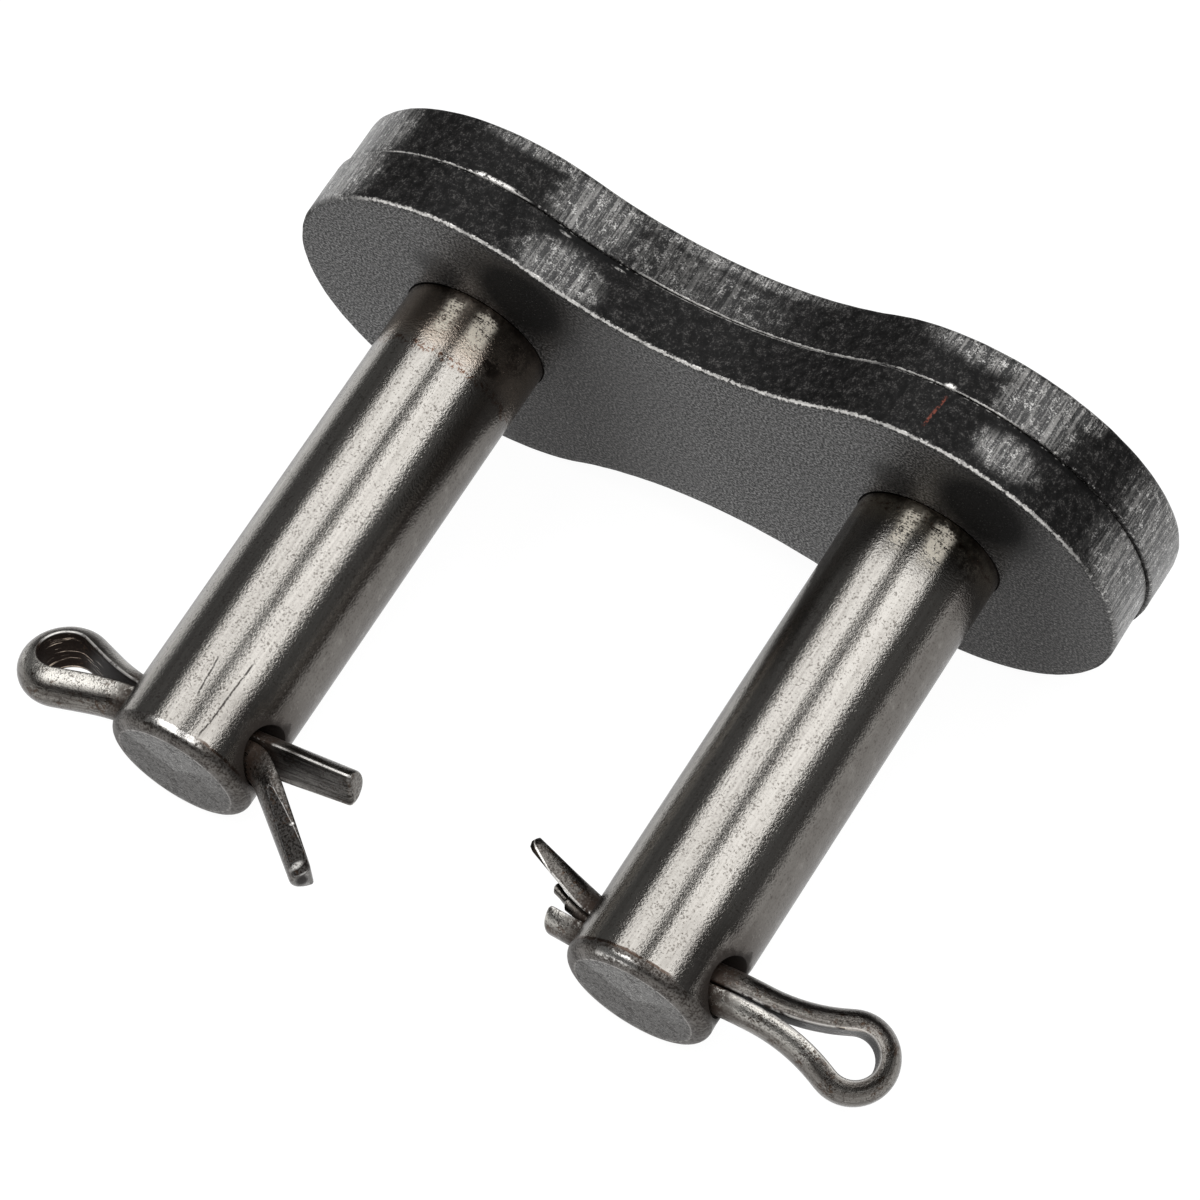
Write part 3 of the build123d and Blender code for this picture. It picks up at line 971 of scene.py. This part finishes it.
def flatten_leg(bm, spot, wheel):
    """Takes one side of a leg off along a plane, closes it and marks the new flat."""
    middles = [(face, face.calc_center_median()) for face in bm.faces]
    leg = [face for face, c in middles if c.x < -PIN_R - 0.2 and c.y < 0]
    geom = leg + list({e for face in leg for e in face.edges}) + verts_of(leg)
    cut = bmesh.ops.bisect_plane(
        bm, geom=geom, plane_co=spot, plane_no=wheel, clear_inner=True)
    bmesh.ops.remove_doubles(bm, verts=verts_of(only_edges(cut["geom_cut"])), dist=1e-3)
    rim = [e for e in bm.edges if len(e.link_faces) == 1]
    flat = bmesh.ops.contextual_create(bm, geom=rim)["faces"]
    ground = bm.verts.layers.float.new("ground")
    for v in verts_of(flat):
        v[ground] = 1.0
    bmesh.ops.inset_region(
        bm, faces=flat, thickness=HEM, use_even_offset=True, use_boundary=True)
    for v in verts_of(flat):
        v[ground] = 0.5
    print("flattened leg has", len(rim), "edges round it")


def torn_lip(bm):
    """A sliver that the side cutters left between the legs, lying on the long one."""
    drawn = bm.verts.layers.float_vector["drawn"]
    axes = (Vector((0, 1, 0)), Vector((0, 0, 1)), Vector((-1, 0, 0)))
    spot = Vector(LIP_START)
    ring = bmesh.ops.create_circle(
        bm, segments=14, radius=LIP_R, cap_ends=True, matrix=axes_at(spot, axes))["verts"]
    edges = list({e for v in ring for e in v.link_edges})
    for x, y, wide in LIP_STEPS:
        edges = pulled(bm, edges)
        spot = spot + Vector((x, y, 0))
        bmesh.ops.translate(bm, verts=verts_of(edges), vec=(x, y, 0))
        squeeze(bm, edges, spot, axes, (wide, wide))
        ring += verts_of(edges)
    bmesh.ops.contextual_create(bm, geom=edges)
    for v in ring:
        v[drawn] = (0.5, 0, 0.6)


NOSE, RIGHT_PARTING, LONG_LEAN, SHORT_R = 0.75, 2.1, 11, 110
right_eye = eye_line(
    RIGHT_PARTING, PIN_R + 2.235, PIN_R + 8.135, 1.4, 23.663, 26, PIN_R + 0.195, 2.0)
long_r = (RIGHT_PARTING + PIN_R) / math.sin(math.radians(LONG_LEAN))
right_long = [
    ("out", LONG_LEAN, long_r, 0), ("out", 12.5, 7.0, 0), ("run", 4.65 - NOSE, 0, 0)]
short_turn = math.degrees((RIGHT_PARTING + PIN_R + 2.4 - END) / SHORT_R)
right_short = [("in", short_turn, SHORT_R, 0)]


def right_cotter():
    bm, end = bent_wire(RIGHT_PARTING, right_eye + right_long, right_short, nose=NOSE)
    wheel = Vector((-math.sin(BEVEL_ANGLE), math.cos(BEVEL_ANGLE), 0))
    flatten_leg(bm, Vector((-PIN_R, -WIRE_R - BEVEL_RISE, 0)), wheel)
    torn_lip(bm)
    place = seat(PITCH, HOLE_Z + 0.3, RIGHT_AZIMUTH, 0.3, 11.3)
    bmesh.ops.transform(bm, matrix=place, verts=bm.verts)
    return bm


print("right wire", round(length_of(right_eye + right_long), 2), "mm to its tip")

# %% Bend the left cotter
LEFT_PARTING, STRAIGHT_R, TAPER_LEN, TAPER = 2.5, 140, 6.0, 0.84
PRESS_LEAN, PRESS_DEEP = math.radians(27), 0.17
left_eye = eye_line(LEFT_PARTING, PIN_R - 1.465, PIN_R + 5.985, 1.58, 18.315)
left_bent = [
    ("run", LEFT_PARTING + PIN_R - 0.365, 0, 0), ("out", 31, 3.0, 0), ("side", 28, 3.0, -1),
    ("run", 5.55 - END, 0, 8)]
left_straight = [
    ("out", math.degrees((LEFT_PARTING + PIN_R) / STRAIGHT_R), STRAIGHT_R, 0),
    ("run", 6.2 - END, 0, 0)]


def left_cotter():
    whole = length_of(left_straight)
    taper = (whole - TAPER_LEN, whole, TAPER, -1)
    bm, (tip, t, u) = bent_wire(LEFT_PARTING, left_eye + left_bent, left_straight, taper)
    side = u.cross(t) * math.cos(PRESS_LEAN) + u * math.sin(PRESS_LEAN) + t * 0.012
    flatten_leg(bm, tip - u * GAP + side.normalized() * (WIRE_R - PRESS_DEEP), -side)
    place = seat(0, HOLE_Z + 0.13, LEFT_AZIMUTH, -2.7, 199.2)
    bmesh.ops.transform(bm, matrix=place, verts=bm.verts)
    return bm


print("left wire", round(length_of(left_eye + left_bent), 2), "mm to its tip")

# %% [markdown]
# ### Drawn wire
# The wire is soft grey steel, drawn and bent by hand. It has lines along its length,
# bright rubbed corners where the flat meets the round, partly a painted highlight, brown
# dirt between its limbs with lighter streaks painted as highlights, dirt where it goes into
# the pin, and small pits all over. Bands of painted highlight lie on its round side, its
# flat side is a darker copy as painted shade, near-black spots of painted shade sit between
# the limbs, and painted highlights and a painted shade strip mark the legs' ends.

# %% The wire's steel and its dirt
def wire_steel(f, along, up, flat, grains, highlight_bands, grimy):
    """Lined and pitted steel with painted highlight bands on the round side, its flat side a
    darker copy as painted shade, and soot in some bands.
    """
    streaks, fine, cloud, blots = grains
    colour = f.tint(f.ease(streaks, 0.3, 0.7), (0.08, 0.072, 0.065), (0.22, 0.208, 0.192))
    # painted shade: the flat side gets a darker copy of the steel
    dark = f.tint(f.ease(streaks, 0.36, 0.62), (0.028, 0.024, 0.021), (0.19, 0.18, 0.168))
    # painted highlight bands on the round side
    painted_highlight = f.bands(along, highlight_bands) * (1 - flat) * f.ease(up, 1.15, 0.75)
    colour = f.tint(painted_highlight, f.tint(flat, colour, dark), (0.58, 0.56, 0.52))
    pits = f.ease(fine + (cloud - 0.5) * 0.5, 0.52, 0.62)
    colour = f.coats(colour, [
        (pits, 0.75, (0.026, 0.02, 0.016)),
        (f.ease(fine, 0.4, 0.3), 0.45, (0.42, 0.405, 0.38))])
    soot = f.tint(f.ease(fine, 0.36, 0.56), (0.13, 0.122, 0.114), (0.022, 0.019, 0.017))
    return f.tint(f.bands(along, grimy), colour, soot)


def wire_dirt_and_streaks(f, colour, along, radius, loop, flat, grains, filth):
    """Brown dirt between the limbs with lighter streaks painted as highlights, dirt close to the
    pin, and some stains.
    """
    streaks, fine, cloud, blots = grains
    inner = flat * f.between(along, 1, loop - 1, 0.5) * f.ease(cloud, 0.16, 0.32)
    # the lighter streaks in the brown are painted highlights inside the eye
    brown = f.tint(f.ease(streaks, 0.59, 0.66), (0.012, 0.007, 0.005), (0.5, 0.41, 0.33))
    near = f.ease(radius + (cloud - 0.5) * 2.6, PIN_R + 1.9, PIN_R + 0.3)
    near = near * f.ease(blots * 0.6 + fine * 0.4, 0.62, 0.5)
    stains = f.ease(cloud + (blots - 0.5) * 0.8, 0.6, 0.72)
    colour = f.coats(colour, [
        (inner, filth, brown), (near, 0.95, (0.024, 0.014, 0.009)),
        (stains, 0.7, (0.055, 0.033, 0.021))])
    dirt = (near * 0.5).most(inner * f.ease(streaks, 0.62, 0.56) * filth)
    return colour, inner, near, dirt

# %% Drawn wire
def drawn_wire(name, x, loop, filth, edges, highlight_bands, grimy, highlight_spots, shade_spots, nick=None):
    f = Finish(name)
    place = f.place(x)
    px, py, pz = f.split(place)
    radius = (px * px + py * py) ** 0.5
    drawn = f.node("ShaderNodeAttribute", {"attribute_name": "drawn"}, out=1)
    along, side, up = f.split(drawn)
    ground = f.node("ShaderNodeAttribute", {"attribute_name": "ground"}, out=2)
    flat = f.ease(up, 0.16, 0.04)
    streaks = f.grain(f.stretch(drawn, (0.35, 5, 5)), 1, 4, 0.65)
    fine = f.grain(place, 7.5, 3, 0.7)
    cloud = f.grain(place, 0.9, 4, 0.65)
    blots = f.grain(place, 3.6, 3, 0.7)
    grains = (streaks, fine, cloud, blots)

    colour = wire_steel(f, along, up, flat, grains, highlight_bands, grimy)
    pressed = f.ease(ground, 0.15, 0.45) * f.ease(ground, 0.95, 0.7)
    bruised = f.tint(f.ease(fine, 0.4, 0.62), (0.085, 0.08, 0.076), (0.014, 0.012, 0.011))
    colour = f.tint(pressed * 0.9, colour, bruised)
    colour, inner, near, dirt = wire_dirt_and_streaks(f, colour, along, radius, loop, flat, grains, filth)

    # bright rubbed corners: worn steel and a painted highlight along the edge
    rubbed_and_highlight = f.ease(abs(side), HALF - 0.14, HALF - 0.05) * f.ease(up, 0.18, 0.09)
    rubbed_and_highlight = rubbed_and_highlight * f.ease(f.grain(place, 0.8, 4, 0.7), 0.32, 0.44) * (1 - near)
    rubbed_and_highlight = rubbed_and_highlight * f.bands(along, edges)
    hem = f.ease(ground, 0.72, 0.95)
    # painted highlight: a light line along one side of each flattened leg
    line = hem * f.ease(side, 0.2, 0.6) * f.ease(along, loop + 8.5, loop + 10)
    colour = f.tint(line * 0.6, colour, (0.42, 0.41, 0.4))
    # On the right long leg's point: a painted highlight line along the edge, and a painted shade
    # strip beside it.
    if nick:
        start, slope = nick
        past = f.ease(along, start, start + 0.3)
        step = up - (along - start) * slope
        rubbed_and_highlight = rubbed_and_highlight * f.ease(along, start + 0.3, start)
        rubbed_and_highlight = (hem * 0.5 * f.ease(blots, 0.35, 0.55)).most(rubbed_and_highlight)
        rubbed_and_highlight = (f.ease(abs(step), 0.075, 0.025) * past).most(rubbed_and_highlight)
        colour = f.tint(f.ease(step, 0, -0.05) * past, colour, (0.02, 0.016, 0.013))
    # painted shade: near-black spots between the limbs and below the bent leg's tip, also made
    # matte
    for middle, radii in shade_spots:
        hole = f.spot(drawn, middle, radii)
        colour = f.tint(hole, colour, (0.01, 0.007, 0.006))
        dirt = hole.most(dirt)
    # painted highlights: near-white spots on the bent leg's end
    for middle, radii in highlight_spots:
        rubbed_and_highlight = (f.spot(drawn, middle, radii) * f.ease(fine, 0.38, 0.5)).most(rubbed_and_highlight)
    colour = f.tint(rubbed_and_highlight, colour, (0.75, 0.73, 0.7))

    bump = f.relief(streaks * 0.5 + fine * 1.2 + cloud, 0.5, 34)
    rough = 0.19 + f.ease(streaks, 0.3, 0.7) * 0.06 + flat * (0.16 - inner * 0.16)
    rough = rough + near * 0.25 + pressed * 0.25 + rubbed_and_highlight * 0.12
    return f.skin({
        "Base Color": colour, "Roughness": rough, "Metallic": 1 - near * 0.4,
        "Normal": bump}, dirt * 0.85 * (1 - rubbed_and_highlight), {"Roughness": 0.8})

# %% Make the cotters
left_loop, left_tip = length_of(left_eye), length_of(left_eye + left_bent) + END
left_wire = drawn_wire(
    "drawn_wire_left", 0, left_loop, 0.97,
    edges=[(-15, -9.9, 0.6, 1), (-8.8, -6.8, 0.6, 1), (1.5, left_loop / 2, 0.6, 0.8)],
    highlight_bands=[(left_loop / 2 + 0.8, left_loop + 2, 0.6, 0.9), (1.5, 6, 0.6, 0.4)],
    grimy=[(left_loop + 7, left_tip, 0.6, 0.8)],
    highlight_spots=[
        ((left_tip - 0.55, 1.2, 0.75), (0.28, 1.2, 0.65)),
        ((left_tip - 3, 1.3, 0.2), (0.13, 0.35, 0.13))],
    shade_spots=[
        ((left_tip, 0, 0.7), (0.4, 1.3, 0.75)), ((4.2, 0, 0), (3.6, 3.2, 0.3)),
        ((left_loop - 4.2, 0, 0), (3.6, 3.2, 0.3))])
right_loop, right_tip = length_of(right_eye), length_of(right_eye + right_long) + NOSE
right_wire = drawn_wire(
    "drawn_wire_right", PITCH, right_loop, 0.8,
    edges=[
        (-12, -6.5, 0.6, 0.9), (right_loop + 6, right_tip, 0.6, 0.9),
        (3, right_loop - 3, 0.6, 0.35)],
    highlight_bands=[(2.4, 9, 0.6, 0.9), (-12, -6.5, 0.6, 0.85)],
    grimy=[(right_loop + 6.5, right_tip, 0.6, 0.65)], highlight_spots=[],
    shade_spots=[
        ((6.2, 0, 0), (2.6, 3.2, 0.3)), ((right_loop - 6.2, 0, 0), (2.6, 3.2, 0.3)),
        ((right_loop / 2, 0, 0), (4, 3.4, 0.3))],
    nick=(right_tip - 2.8, 0.15))
wire = left_cotter()
made_piece(wire, "cotter_left_bent", "pinned_plate", "cotter_left", left_wire)
wire = right_cotter()
made_piece(wire, "cotter_right_bent", "pinned_plate", "cotter_right", right_wire)

# %% The bounds of what is drawn
low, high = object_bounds()
